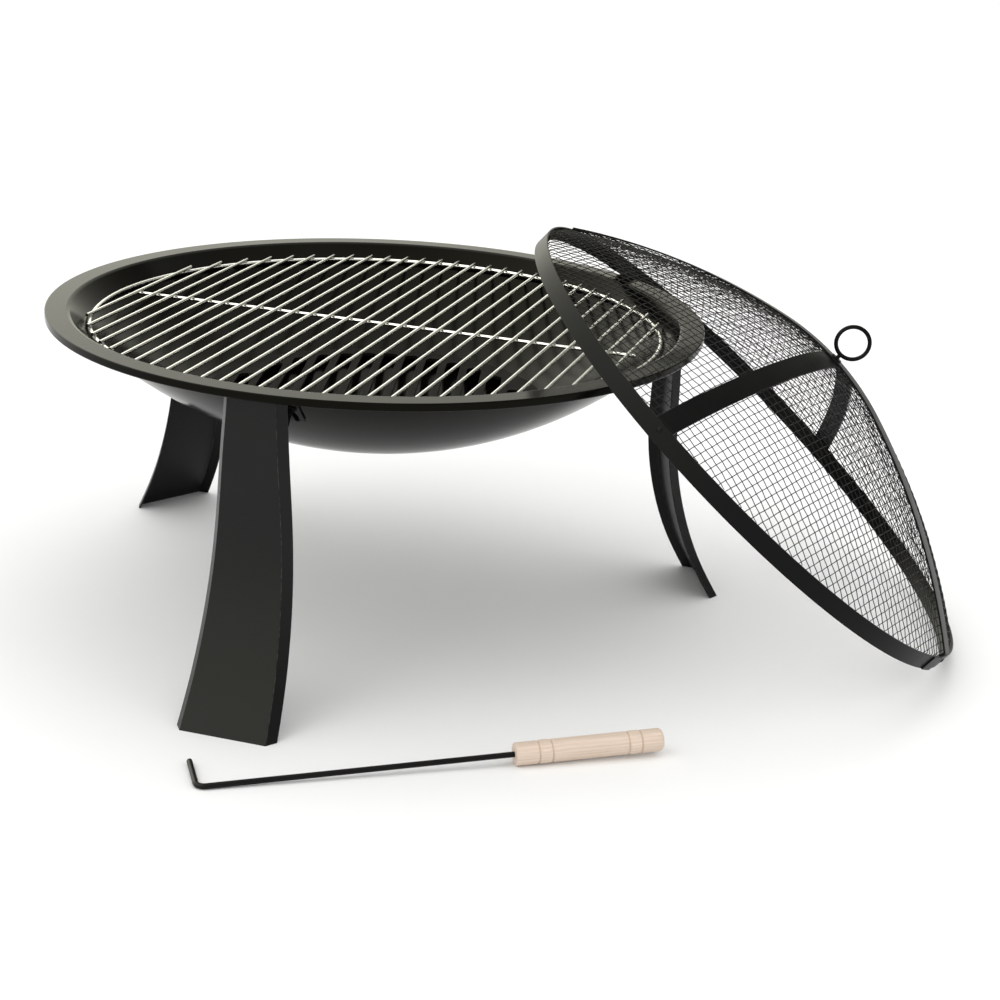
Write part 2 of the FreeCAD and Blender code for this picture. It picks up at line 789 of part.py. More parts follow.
def lid_placement():
    """Lean the lid on the rim: its open side faces the bowl and its band stands on the floor."""
    bearing = value("lid_bearing")
    tilt = value("lid_tilt")
    centre = Vector(value("lid_distance"), 0, value("band_radius * cos(lid_tilt)"))
    upright = Rotation(Vector(0, 0, 1), bearing)
    # The lid's own X stays level and its own Y leans back over the bowl.
    lean = Rotation(Vector(0, 1, 0), FULL_TURN / 4 - tilt) * Rotation(Vector(0, 0, 1), FULL_TURN / 4)
    return Placement(upright.multVec(centre), upright * lean)


def make_lid():
    """The spark lid, leaning."""
    lid = lid_placement()
    make_band(lid)
    make_mesh(lid)
    long_way, across = strap_bearings()
    make_strap(lid, "lid_long_strap", long_way, "0")
    make_strap(lid, "lid_cross_strap", across, UPPER_STRAP_LIFT)
    make_rivets(lid)
    make_handle(lid)


def handle_outline():
    """Half section of the turned handle: two pairs of grooves, each with a raised band between."""
    radius = "poker_handle_radius"
    butt = "poker_butt_rounding"
    points = [
        ("0", "poker_rod"),
        ("0", f"{radius} - poker_handle_rounding"),
        ("poker_handle_rounding", radius),
    ]
    arcs = {1: ("poker_handle_rounding", f"({radius} - poker_handle_rounding)", "x")}
    inset = "poker_groove_inset"
    pair_starts = [inset, f"(poker_handle_length - {inset} - poker_groove_spacing)"]
    band_half = "(poker_groove_spacing / 2 - poker_groove_half)"
    band_curve = f"(({band_half}^2 + poker_band_swell^2) / (2 * poker_band_swell))"
    for start in pair_starts:
        for middle in (start, f"({start} + poker_groove_spacing)"):
            points += [
                (f"{middle} - poker_groove_half", radius),
                (middle, f"{radius} - poker_groove_depth"),
                (f"{middle} + poker_groove_half", radius),
            ]
            if middle == start:
                arcs[len(points) - 1] = (f"({start} + poker_groove_spacing / 2)",
                                         f"({radius} + poker_band_swell - {band_curve})", "y")
    arcs[len(points)] = (f"(poker_handle_length - {butt})", f"({radius} - {butt})", "x")
    points += [
        (f"poker_handle_length - {butt}", radius),
        ("poker_handle_length", f"{radius} - {butt}"),
        ("poker_handle_length", "0"),
        ("poker_tang", "0"),
        ("poker_tang", "poker_rod"),
    ]
    return points, arcs


def make_poker():
    """A bent rod with a turned wooden handle, lying on the floor."""
    rod = new_body("poker_rod_pipe")
    end = "poker_length + poker_tang"
    spine = draw_outline(new_sketch(rod, "poker_spine", "XY_Plane"), [
        ("0", "poker_hook"),
        ("0", "poker_bend"),
        ("poker_bend", "0"),
        (end, "0"),
    ], {1: ("poker_bend", "poker_bend", "x")}, closed=False)
    profile = draw_circle(new_sketch(rod, "poker_round", "YZ_Plane", end), "poker_rod")
    pipe = rod.newObject("PartDesign::AdditivePipe", "poker_pipe")
    pipe.Profile = profile
    pipe.Spine = (spine, [f"Edge{number}" for number in (1, 2, 3)])

    handle = new_body("poker_handle_turning")
    points, arcs = handle_outline()
    section = draw_outline(new_sketch(handle, "poker_handle_section", "XY_Plane"), points, arcs)
    revolve(handle, section, axis="X_Axis")

    # The rod rises from its bend, on the floor, to the handle's front edge, also on the floor.
    rise = value("asin((poker_handle_radius - poker_rod) / poker_length)")
    start = Vector(value("poker_bend_x"), value("poker_bend_y"), value("poker_rod + floor_gap"))
    lie = Placement(start, Rotation(Vector(0, 0, 1), value("poker_bearing"))
                    * Rotation(Vector(0, 1, 0), -rise))
    keep("poker_rod", rod, lie)
    keep("poker_handle", handle,
         lie * Placement(Vector(value("poker_length"), 0, 0), Rotation()))


def check_document():
    """Stop if any object failed or any sub-part has no sound solid."""
    for item in doc.Objects:
        if "Invalid" in item.State or "Error" in item.State:
            raise RuntimeError(f"{item.Name} is {item.State}")
    for name, item in nodes.items():
        if item.Shape.isNull() or not item.Shape.isValid() or not item.Shape.Solids:
            raise RuntimeError(f"{name} has no valid solid")


def centre_footprint():
    """Move the whole set so that the middle of its footprint is the origin."""
    box = FreeCAD.BoundBox()
    for item in nodes.values():
        box.add(item.Shape.optimalBoundingBox(False))
    shift = Placement(Vector(-box.Center.x, -box.Center.y, 0), Rotation())
    for item in nodes.values():
        item.Placement = shift * item.Placement
    doc.recompute()
    return shift.Base, box


def main():
    """Build every sub-part, centre the set and write one STEP file for each."""
    make_bowl()
    make_cooking_grate()
    make_fire_grate()
    for name, bearing in leg_bearings():
        make_leg(name, bearing)
        make_bracket(name, bearing)
        fastener_pair(f"{name}_leg_bolts", bearing, bolt)
        fastener_pair(f"{name}_leg_washers", bearing, washer)
        fastener_pair(f"{name}_leg_wing_nuts", bearing, wing_nut)
    make_lid()
    make_poker()
    doc.recompute()
    check_document()
    shift, box = centre_footprint()
    check_document()
    os.makedirs("parts", exist_ok=True)
    for name, item in nodes.items():
        item.Shape.exportStep(f"parts/{name}.step")
    print(f"{len(nodes)} sub-parts, moved by {shift.x:.2f}, {shift.y:.2f}; size "
          f"{box.XLength:.1f} x {box.YLength:.1f} x {box.ZLength:.1f}, lowest {box.ZMin:.3f}")


main()
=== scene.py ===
"""Finishes, the woven lid mesh, the grate's welds and a plain studio for a fire pit set."""

import json
import math

import bmesh
import bpy
import numpy as np
from bpy.props import FloatProperty, FloatVectorProperty, IntProperty, PointerProperty
from mathutils import Matrix, Vector, noise
from mathutils.bvhtree import BVHTree


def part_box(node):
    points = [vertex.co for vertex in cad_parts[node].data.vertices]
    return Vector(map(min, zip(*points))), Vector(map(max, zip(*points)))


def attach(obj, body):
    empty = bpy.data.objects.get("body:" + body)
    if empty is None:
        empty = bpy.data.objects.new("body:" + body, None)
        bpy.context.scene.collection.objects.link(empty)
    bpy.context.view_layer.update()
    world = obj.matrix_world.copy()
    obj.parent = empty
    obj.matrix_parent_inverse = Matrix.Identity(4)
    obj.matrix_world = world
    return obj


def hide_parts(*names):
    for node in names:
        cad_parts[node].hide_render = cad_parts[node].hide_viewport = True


bl_info = {
    "name": "Fire Pit Looks",
    "version": (1, 0, 0),
    "blender": (4, 5, 0),
    "location": "3D View > Sidebar > Fire Pit",
    "description": "Finishes, woven lid mesh, welds and studio for a fire pit with a lid",
    "category": "Object",
}

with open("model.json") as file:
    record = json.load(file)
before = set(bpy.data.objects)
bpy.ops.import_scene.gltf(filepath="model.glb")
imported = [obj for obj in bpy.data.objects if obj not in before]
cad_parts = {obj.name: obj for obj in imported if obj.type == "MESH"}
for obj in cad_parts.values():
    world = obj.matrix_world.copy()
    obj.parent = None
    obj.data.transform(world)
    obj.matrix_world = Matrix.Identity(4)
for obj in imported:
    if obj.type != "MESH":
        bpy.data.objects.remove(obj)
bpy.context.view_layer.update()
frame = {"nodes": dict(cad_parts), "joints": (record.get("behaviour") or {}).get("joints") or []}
NODES = frame["nodes"]
LEGS = ("front", "right", "rear")
MM = 0.001

RIPPLE_SHARE = 0.35    # a ripple's depth beside a broad dent's
DUST_DULLS = 1.5       # roughness added where dust lies thick

# How far up, right and back a direction points, between which the mirrored light changes.
RISE_SPAN = (0.12, 0.85)
SIDE_SPAN = (-0.6, 0.6)
DEPTH_SPAN = (-0.8, 0.1)


# ---------------------------------------------------------------- sizes and colours


def length(name, description, default, smallest=0.0):
    """A property for a length in metres."""
    return FloatProperty(name=name, description=description, default=default, min=smallest,
                         subtype="DISTANCE", unit="LENGTH", precision=5)


def angle(name, description, default):
    """A property for an angle, whose default is given in degrees."""
    return FloatProperty(name=name, description=description, default=math.radians(default),
                         subtype="ANGLE", unit="ROTATION")


def colour(name, description, default):
    """A property for a linear colour."""
    return FloatVectorProperty(name=name, description=description, default=default, size=3,
                               min=0.0, max=1.0, subtype="COLOR")


def power(name, default):
    """A property for a lamp's power."""
    return FloatProperty(name=name, description=f"Power of the {name.lower()}",
                         default=default, min=0.0, subtype="POWER", unit="POWER")


def lamp_place(name, default):
    """A property for a lamp's place over the floor, from the bowl's axis."""
    return FloatVectorProperty(name=name, description="Place over the floor, from the bowl's axis",
                               default=default, size=3, subtype="TRANSLATION", unit="LENGTH")


def gain(name, description, default):
    """A property for a light's strength."""
    return FloatProperty(name=name, description=description, default=default, min=0.0)


class FirePitMeshSizes(bpy.types.PropertyGroup):
    """The lid's woven wire."""

    cell: length("Cell", "Side of one square cell of the weave", 9.4 * MM, 4 * MM)
    wire: length("Wire", "Diameter of the wire", 0.95 * MM, 0.3 * MM)
    turn: angle("Turn", "Turn of the weave about the lid's axis", -25.0)
    tuck: length("Tuck", "How far the cut ends run down inside the band", 7 * MM)
    dent: length("Dent", "Depth of the hand-pressed unevenness", 1.2 * MM)
    dent_size: length("Dent size", "Size of a broad dent", 38 * MM, MM)
    ripple_size: length("Ripple size", "Size of a small ripple in a dent", 15 * MM, MM)
    slip_size: length("Slip size", "Size of the patches that slip together", 14 * MM, MM)
    slip: length("Slip", "How far a knot may sit off its even place", 0.45 * MM)
    rise: length("Rise", "How far the net rises to meet the upper strap", 1.7 * MM)
    rise_start: length("Rise start", "Distance from the top where that rise begins", 22 * MM)
    rise_end: length("Rise end", "Distance from the top where that rise is full", 48 * MM)
    rise_reach: length("Rise reach", "Half width of the risen strip of net", 16 * MM)
    sides: IntProperty(name="Sides", description="Sides of the wire's section", default=6,
                       min=3, max=12)
    seed: IntProperty(name="Seed", description="Seed of the net's unevenness", default=7, min=1)


class FirePitWeldSizes(bpy.types.PropertyGroup):
    """The spot welds of the cooking grate."""

    spread: length("Spread", "Half width of a weld", 2.7 * MM)
    swell: length("Swell", "Half height of a weld", 1.5 * MM)
    roughen: length("Roughen", "Unevenness of a weld", 0.4 * MM)
    lump: length("Lump", "Size of a lump on a weld", 2 * MM, MM / 10)
    bar_gap: length("Bar gap", "The least gap between two bars of the grate", 8 * MM)


class FirePitWoodSizes(bpy.types.PropertyGroup):
    """The grain of the poker's wooden handle."""

    streak_length: length("Streak length", "Length of a streak", 1 / 22, MM)
    streak_width: length("Streak width", "Width of a streak", 1 / 900, MM / 100)
    pore_length: length("Pore length", "Length of a pore", 1 / 150, MM)
    pore_width: length("Pore width", "Width of a pore", 1 / 2400, MM / 100)
    # Groove lip and groove depth set where the painted shade in the grooves starts and where it is
    # full.
    groove_lip: length("Groove lip", "Depth at which a groove's tone starts", 0.25 * MM)
    groove_depth: length("Groove depth", "Depth at which a groove's tone is full", 0.9 * MM)
    end_start: length("End start", "Distance from the middle where the ends' rounding starts",
                      76 * MM)
    end_full: length("End full", "Distance from the middle where only end wood is left", 79 * MM)
    relief: length("Relief", "Height of the grain", 0.12 * MM)


class FirePitColours(bpy.types.PropertyGroup):
    """Colours of the finishes, linear."""

    enamel: colour("Enamel", "Gloss black enamel of the bowl", (0.0016, 0.0016, 0.0013))
    chrome: colour("Chrome", "Plated wire of the cooking grate", (0.93, 0.93, 0.91))
    weld: colour("Weld", "Duller plating over the welds", (0.52, 0.51, 0.49))
    iron: colour("Iron", "Black of the fire grate", (0.0035, 0.0033, 0.003))
    leg: colour("Leg coat", "Textured powder coat of the legs", (0.0042, 0.0043, 0.0043))
    lid: colour("Lid coat", "Satin coat of the lid's band, straps and loop",
                (0.0024, 0.0026, 0.0027))
    mesh: colour("Mesh coat", "Dipped coat of the woven wire", (0.006, 0.0058, 0.0052))
    # knot: the darker colour painted on each wire's inner side as shade.
    knot: colour("Knot shade", "Thicker coat between the wires of a knot", (0.002, 0.002, 0.0018))
    hardware: colour("Hardware", "Blackened bolts, nuts, washers and brackets",
                     (0.0025, 0.0025, 0.0025))
    poker: colour("Poker coat", "Satin coat of the poker's rod", (0.003, 0.003, 0.003))
    # bare: the lighter edge colour, which is thin wear and a painted edge highlight.
    edge_bare_and_highlight: colour("Bare steel", "Steel where a coat is worn thin", (0.30, 0.29, 0.28))
    dust: colour("Dust", "Fine pale dust", (0.42, 0.40, 0.37))
    wood: colour("Wood", "Pale unvarnished wood of the handle", (0.70, 0.585, 0.485))
    grain: colour("Grain", "Darker grain of the handle", (0.52, 0.39, 0.30))
    # groove: painted shade in the handle's turned grooves.
    groove_shade: colour("Groove", "Deeper tone in the handle's turned grooves", (0.47, 0.345, 0.26))


class FirePitStageSizes(bpy.types.PropertyGroup):
    """Floor, lamps and camera."""

    floor_reach: length("Floor reach", "Radius of the floor", 30.0)
    floor_colour: colour("Floor colour", "Pale floor", (0.86, 0.86, 0.85))
    sky: gain("Room light", "Strength of the light from all round", 1.2)
    horizon: gain("Horizon", "Brightness mirrored from the horizon", 1.0)
    zenith: gain("Zenith", "Brightness mirrored from overhead", 0.75)
    left_gain: gain("Left gain", "Gain of what is mirrored from the left", 3.0)
    right_gain: gain("Right gain", "Gain of what is mirrored from the right", 0.22)
    front_gain: gain("Front gain", "Gain of what is mirrored from the front", 0.65)
    mirrored_colour: colour("Mirrored colour", "Warmth of what glossy surfaces mirror",
                            (1.0, 0.99, 0.86))
    backdrop: gain("Backdrop", "Brightness of the backdrop as seen", 1.0)
    key: power("Key light", 12.0)
    key_place: lamp_place("Key place", (-1.6, -1.3, 2.3))
    key_width: length("Key width", "Side of the key light", 1.6)
    fill: power("Fill light", 5.0)
    fill_place: lamp_place("Fill place", (2.2, -1.2, 1.5))
    fill_width: length("Fill width", "Side of the fill light", 1.8)
    top: power("Top light", 10.0)
    top_place: lamp_place("Top place", (0.3, 0.9, 2.6))
    top_width: length("Top width", "Side of the top light", 2.2)
    camera_distance: length("Camera distance", "Level distance from the bowl's axis", 2.3295)
    camera_height: length("Camera height", "Height over the floor", 0.9477)
    camera_yaw: angle("Camera yaw", "Turn to the right", 3.7758)
    camera_pitch: angle("Camera pitch", "Tilt down", 19.3602)
    camera_roll: angle("Camera roll", "Roll about the line of sight", 2.9966)
    camera_lens: FloatProperty(name="Lens", description="Focal length", default=73.8, min=10.0,
                               subtype="DISTANCE_CAMERA", unit="CAMERA")


# ---------------------------------------------------------------- reading the frame


def slide_axis(joint_name):
    """The direction of one of the frame's slides."""
    for joint in frame["joints"]:
        if joint["name"] == joint_name:
            return Vector(joint["axis"]).normalized()
    raise RuntimeError(f"the frame has no joint named {joint_name}")


def corners(node):
    """The places of all vertices of a CAD node."""
    return [vertex.co.copy() for vertex in NODES[node].data.vertices]


def lid_place():
    """The lid's own frame: Z along its axis, X level, origin in the middle of its open edge."""
    up = slide_axis("lid_lift")
    level = Vector((0, 0, 1)).cross(up).normalized()
    turn = Matrix((level, up.cross(level), up)).transposed()
    band = [turn.transposed() @ point for point in corners("lid_band")]
    middle = Vector([(min(p[axis] for p in band) + max(p[axis] for p in band)) / 2
                     for axis in range(3)])
    middle.z = min(point.z for point in band)
    return Matrix.Translation(turn @ middle) @ turn.to_4x4()


def long_axis(node):
    """The unit vector along a slender CAD node, and its middle."""
    points = np.array(corners(node))
    middle = points.mean(axis=0)
    spread = np.linalg.svd(points - middle, full_matrices=False)[2]
    return Vector(spread[0]).normalized(), Vector((points.min(axis=0) + points.max(axis=0)) / 2)


# ---------------------------------------------------------------- making meshes


def new_piece(name, vertices, faces, body, material):
    """A smooth-shaded mesh object that rides on a body and takes its finish from a slot."""
    mesh = bpy.data.meshes.new(name)
    mesh.from_pydata(vertices, [], faces)
    mesh.shade_smooth()
    mesh.materials.append(material)
    piece = bpy.data.objects.new(name, mesh)
    bpy.context.scene.collection.objects.link(piece)
    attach(piece, body)
    return piece


class WireMesh:
    """Vertices and faces of many wires, gathered into one mesh."""

    def __init__(self, radius, sides):
        self.radius = radius
        self.sides = sides
        self.vertices = []
        self.faces = []

    def ring(self, centre, along, up):
        """Add one ring of the wire's section."""
        aside = along.cross(up).normalized()
        up = aside.cross(along).normalized()
        for side in range(self.sides):
            turn = math.tau * side / self.sides
            self.vertices.append(centre + self.radius * (math.cos(turn) * aside
                                                         + math.sin(turn) * up))

    def add(self, points, ups):
        """Add a wire through the points, with a flat end at both."""
        first = len(self.vertices)
        last = len(points) - 1
        for number, point in enumerate(points):
            along = points[min(number + 1, last)] - points[max(number - 1, 0)]
            self.ring(point, along.normalized(), ups[number])
        for number in range(last):
            low = first + number * self.sides
            for side in range(self.sides):
                beside = (side + 1) % self.sides
                self.faces.append((low + side, low + beside,
                                   low + self.sides + beside, low + self.sides + side))
        self.faces.append(tuple(first + side for side in reversed(range(self.sides))))
        end = first + last * self.sides
        self.faces.append(tuple(end + side for side in range(self.sides)))


class Dome:
    """The middle of the lid's mesh shell, as a level over the lid's open edge for each radius."""

    STEPS = 120
    CLEAR_OF_HOLE = 6 * MM
    CLEAR_OF_EDGE = 2 * MM
    REACH = 1.0

    def __init__(self, place):
        back = place.inverted()
        shell = NODES["lid_mesh"].data
        points = [back @ point for point in corners("lid_mesh")]
        tree = BVHTree.FromPolygons(points, [tuple(face.vertices) for face in shell.polygons])
        self.edge = max(math.hypot(point.x, point.y) for point in points)
        self.step = (self.edge - self.CLEAR_OF_EDGE) / self.STEPS
        self.levels = [self.middle(tree, max(number * self.step, self.CLEAR_OF_HOLE))
                       for number in range(self.STEPS + 1)]

    def middle(self, tree, radius):
        """The level halfway between the shell's two skins."""
        above = tree.ray_cast(Vector((0, radius, self.REACH)), Vector((0, 0, -1)))[0]
        below = tree.ray_cast(Vector((0, radius, -self.REACH)), Vector((0, 0, 1)))[0]
        return (above.z + below.z) / 2

    def slope(self, radius):
        """How steeply the level falls with the radius."""
        number = min(int(radius / self.step), self.STEPS - 1)
        return (self.levels[number + 1] - self.levels[number]) / self.step

    def point(self, x, y):
        """The dome's point over a place in the open edge's plane."""
        radius = math.hypot(x, y)
        number = min(int(radius / self.step), self.STEPS - 1)
        level = self.levels[number] + self.slope(radius) * (radius - number * self.step)
        return Vector((x, y, level))

    def normal(self, point):
        """The outward direction at a point of the dome."""
        radius = max(math.hypot(point.x, point.y), MM)
        fall = -self.slope(radius)
        return Vector((fall * point.x / radius, fall * point.y / radius, 1)).normalized()


def net_knots(dome, cell, turn):
    """Places of the knots of a square weave over the dome, keyed by the two wires' numbers.

    All cell sides keep their length, so the cells lean where the dome curves both ways.
    """
    beyond = dome.edge + 2 * cell
    knots = {(0, 0): dome.point(0, 0)}
    ways = ((1, 0), (-1, 0), (0, 1), (0, -1))
    for across, along in ways:
        heading = turn + math.atan2(along, across)
        radius = 0.0
        number = 0
        while radius < beyond:
            radius += cell / math.hypot(1, dome.slope(radius))
            number += 1
            knots[across * number, along * number] = dome.point(radius * math.cos(heading),
                                                                radius * math.sin(heading))
    for across in (1, -1):
        for along in (1, -1):
            fill_quarter(dome, cell, beyond, knots, across, along)
    return knots


def fill_quarter(dome, cell, beyond, knots, across, along):
    """Add the knots of one quarter of the net, each from the three before it."""
    row = 1
    while (0, along * row) in knots:
        column = 1
        while (across * column, along * (row - 1)) in knots:
            before = knots.get((across * (column - 1), along * row))
            below = knots[across * column, along * (row - 1)]
            corner = knots[across * (column - 1), along * (row - 1)]
            if before is None:
                break
            middle = (before + below) / 2
            gap = below - before
            out = middle - corner
            out -= out.project(gap)
            reach = math.sqrt(max(cell ** 2 - gap.length_squared / 4, 0))
            place = middle + out.normalized() * reach
            if math.hypot(place.x, place.y) < beyond:
                knots[across * column, along * row] = dome.point(place.x, place.y)
            column += 1
        row += 1


def strap_direction(place, node):
    """The level direction of one of the lid's straps, in the lid's frame."""
    turn = place.to_3x3().transposed()
    along = turn @ long_axis(node)[0]
    return Vector((along.x, along.y, 0)).normalized()


def smooth(low, high, source):
    """A smooth step from 0 at one limit to 1 at the other."""
    share = min(max((source - low) / (high - low), 0.0), 1.0)
    return share * share * (3 - 2 * share)


def strap_rise(point, strap, sizes):
    """How far the net rises at a point to meet the strap that crosses over the other."""
    level = Vector((point.x, point.y, 0))
    along = abs(level.dot(strap))
    aside = (level - level.project(strap)).length
    beside = 1 - smooth(sizes.rise_reach / 2, sizes.rise_reach, aside)
    return sizes.rise * beside * smooth(sizes.rise_start, sizes.rise_end, along)


def loosen(dome, knots, strap, sizes):
    """Give the even net the small slips and dents of a hand-pressed mesh."""
    noise.seed_set(sizes.seed)
    loose = {}
    for key, knot in knots.items():
        slip = sizes.slip * noise.noise_vector(knot / sizes.slip_size)
        moved = dome.point(knot.x + slip.x, knot.y + slip.y)
        broad = max(0.0, noise.noise(knot / sizes.dent_size))
        dip = broad + RIPPLE_SHARE * max(0.0, noise.noise(knot / sizes.ripple_size))
        rise = strap_rise(moved, strap, sizes)
        dent = sizes.dent * dip * (1 - rise / sizes.rise)
        loose[key] = moved + (rise - dent) * dome.normal(moved)
    return loose


def weave_wire(dome, knots, keys, over_first, sizes):
    """The points and outward directions of one wire that goes over and under along its knots."""
    inside = [number for number, key in enumerate(keys)
              if math.hypot(knots[key].x, knots[key].y) < dome.edge - sizes.wire]
    if len(inside) < 2:
        return None
    points = []
    ups = []
    for number in inside:
        key = keys[number]
        up = dome.normal(knots[key])
        over = 1 if (sum(key) % 2 == 0) == over_first else -1
        points.append(knots[key] + up * over * sizes.wire / 2)
        ups.append(up)
    for end, neighbour in ((0, inside[0] - 1), (-1, inside[-1] + 1)):
        tucked = tuck_end(dome, points[end], neighbour, knots, keys, sizes)
        if end == 0:
            points = tucked[::-1] + points
            ups = [ups[0]] * len(tucked) + ups
        else:
            points = points + tucked
            ups = ups + [ups[-1]] * len(tucked)
    return points, ups


def tuck_end(dome, last, neighbour, knots, keys, sizes):
    """From a wire's last knot on to the dome's edge, and down inside the band."""
    if not 0 <= neighbour < len(keys):
        return []
    beyond = knots[keys[neighbour]]
    edge = dome.edge - sizes.wire
    start = math.hypot(last.x, last.y)
    share = (edge - start) / max(math.hypot(beyond.x, beyond.y) - start, MM / 100)
    turn = last.lerp(beyond, min(max(share, 0.0), 1.0))
    down = turn.copy()
    down.z -= sizes.tuck
    return [turn, down]


# ---------------------------------------------------------------- shader building blocks


def put(tree, kind, inputs=None, **settings):
    """Add a node with its settings; its inputs take plain values or other nodes' outputs."""
    node = tree.nodes.new(kind)
    for name, setting in settings.items():
        setattr(node, name, setting)
    fill(tree, node, inputs or {})
    return node


def work_out(tree, operation, *values):
    """The output of a Math node."""
    return put(tree, "ShaderNodeMath", dict(enumerate(values)), operation=operation).outputs[0]


def between(tree, source, low, high, to_low=0.0, to_high=1.0):
    """A value's share of the way between two limits, clamped."""
    return put(tree, "ShaderNodeMapRange", {"Value": source, "From Min": low, "From Max": high,
                                            "To Min": to_low, "To Max": to_high}).outputs[0]


def mix(tree, share, first, second):
    """The output of a colour mix."""
    node = put(tree, "ShaderNodeMix", {0: share, 6: first, 7: second}, data_type="RGBA")
    return node.outputs[2]


def opaque(colour_value):
    """A colour with full alpha."""
    return (*colour_value, 1.0)


def noise_at(tree, size, detail=2.0, rough=0.5, vector=None):
    """Noise whose features are about as large as a size in metres, which may be a socket."""
    if vector is None:
        vector = put(tree, "ShaderNodeTexCoord").outputs["Object"]
    if isinstance(size, bpy.types.NodeSocket):
        scale = work_out(tree, "DIVIDE", 1.0, size)
    else:
        scale = 1 / size
    return put(tree, "ShaderNodeTexNoise", {"Vector": vector, "Scale": scale, "Detail": detail,
                                            "Roughness": rough}).outputs["Fac"]


def new_group(name, inputs, outputs):
    """A node group with named sockets. Gives its tree, its inputs and its output node's inputs."""
    tree = bpy.data.node_groups.new(name, "ShaderNodeTree")
    for label, kind in inputs:
        tree.interface.new_socket(name=label, in_out="INPUT", socket_type=f"NodeSocket{kind}")
    for label, kind in outputs:
        tree.interface.new_socket(name=label, in_out="OUTPUT", socket_type=f"NodeSocket{kind}")
    return tree, tree.nodes.new("NodeGroupInput").outputs, tree.nodes.new("NodeGroupOutput").inputs


def fill(tree, node, inputs):
    """Give a node's inputs plain values or other nodes' outputs."""
    for name, source in inputs.items():
        if isinstance(source, bpy.types.NodeSocket):
            tree.links.new(source, node.inputs[name])
        else:
            node.inputs[name].default_value = source


def place_group(tree, group, **values):
    """Place a group in a material and give its outputs. Names have _ for their spaces."""
    node = put(tree, "ShaderNodeGroup", node_tree=group)
    fill(tree, node, {name.replace("_", " "): source for name, source in values.items()})
    return node.outputs


def coat_grain_group():
    """A sprayed coat: fine grain in its height, and slow drifts in its shade and gloss."""
    tree, given, result = new_group(
        "Coat Grain",
        [("Coat", "Color"), ("Grain Size", "Float"), ("Drift Size", "Float"),
         ("Shade Drift", "Float"), ("Roughness", "Float"), ("Roughness Drift", "Float")],
        [("Color", "Color"), ("Roughness", "Float"), ("Height", "Float")])
    fine = noise_at(tree, given["Grain Size"], 2.0, 0.6)
    slow = noise_at(tree, given["Drift Size"], 4.0, 0.62)
    swing = work_out(tree, "MULTIPLY_ADD", slow, 2.0, -1.0)
    shade = work_out(tree, "MULTIPLY_ADD", swing, given["Shade Drift"], 1.0)
    tinted = put(tree, "ShaderNodeVectorMath", {0: given["Coat"], "Scale": shade},
                 operation="SCALE").outputs[0]
    rough = work_out(tree, "MULTIPLY_ADD", swing, given["Roughness Drift"], given["Roughness"])
    glint = work_out(tree, "MULTIPLY_ADD", fine, given["Roughness Drift"], rough)
    tree.links.new(tinted, result["Color"])
    tree.links.new(glint, result["Roughness"])
    tree.links.new(fine, result["Height"])
    return tree


def edge_wear_and_highlight_group():
    """Thin wear and a painted highlight along sharp edges: more bare metal colour where a rounded
    normal leaves the true one.
    """
    tree, given, result = new_group(
        "Worn Edges",
        [("Coat", "Color"), ("Bare", "Color"), ("Width", "Float"), ("Amount", "Float")],
        [("Color", "Color"), ("Wear", "Float"), ("Normal", "Vector")])
    rounded = put(tree, "ShaderNodeBevel", {"Radius": given["Width"]}, samples=4).outputs[0]
    true = put(tree, "ShaderNodeNewGeometry").outputs["Normal"]
    agree = put(tree, "ShaderNodeVectorMath", {0: rounded, 1: true},
                operation="DOT_PRODUCT").outputs["Value"]
    flat, sharp = 0.985, 0.86
    edge = between(tree, agree, flat, sharp)
    spot, least, most = 7 * MM, 0.42, 0.62
    broken = between(tree, noise_at(tree, spot, 5.0, 0.7), least, most)
    wear_and_highlight = work_out(tree, "MULTIPLY", work_out(tree, "MULTIPLY", edge, broken), given["Amount"])
    # Painted highlight with thin wear: the edges turn towards the lighter bare colour.
    tree.links.new(mix(tree, wear_and_highlight, given["Coat"], given["Bare"]), result["Color"])
    tree.links.new(wear_and_highlight, result["Wear"])
    tree.links.new(rounded, result["Normal"])
    return tree


def settled_dust_group():
    """Fine dust on faces that look up, in soft patches."""
    tree, given, result = new_group(
        "Settled Dust",
        [("Under", "Color"), ("Dust", "Color"), ("Amount", "Float")],
        [("Color", "Color"), ("Mask", "Float")])
    normal = put(tree, "ShaderNodeNewGeometry").outputs["Normal"]
    rise = put(tree, "ShaderNodeSeparateXYZ", {0: normal}).outputs["Z"]
    steep, level = 0.35, 0.95
    facing = between(tree, rise, steep, level)
    patch_size, speck_size, speck_share = 45 * MM, 0.9 * MM, 0.6
    patches = between(tree, noise_at(tree, patch_size, 6.0, 0.65), 0.4, 0.72)
    specks = between(tree, noise_at(tree, speck_size, 1.0, 0.5), 0.5, 0.72)
    cover = work_out(tree, "MULTIPLY_ADD", specks, speck_share, patches)
    mask = work_out(tree, "MULTIPLY", work_out(tree, "MULTIPLY", facing, cover), given["Amount"])
    tree.links.new(mix(tree, mask, given["Under"], given["Dust"]), result["Color"])
    tree.links.new(mask, result["Mask"])
    return tree


SHARED = {}


def shared(maker):
    """A shader group or a finish, built the first time that it is asked for."""
    if maker.__name__ not in SHARED:
        SHARED[maker.__name__] = maker()
    return SHARED[maker.__name__]


def new_material(name):
    """A material with its Principled shader. Gives the material, its tree and the shader."""
    material = bpy.data.materials.new(name)
    material.use_nodes = True
    tree = material.node_tree
    return material, tree, tree.nodes["Principled BSDF"]


def connect(tree, shader, **sources):
    """Link sources to the shader's sockets. A socket's name is written with _ for its spaces."""
    for name, source in sources.items():
        tree.links.new(source, shader.inputs[name.replace("_", " ").title()])


def bump(tree, height, distance, normal=None):
    """A bumped normal from a height."""
    inputs = {"Height": height, "Distance": distance, "Strength": 1.0}
    if normal is not None:
        inputs["Normal"] = normal
    return put(tree, "ShaderNodeBump", inputs).outputs[0]


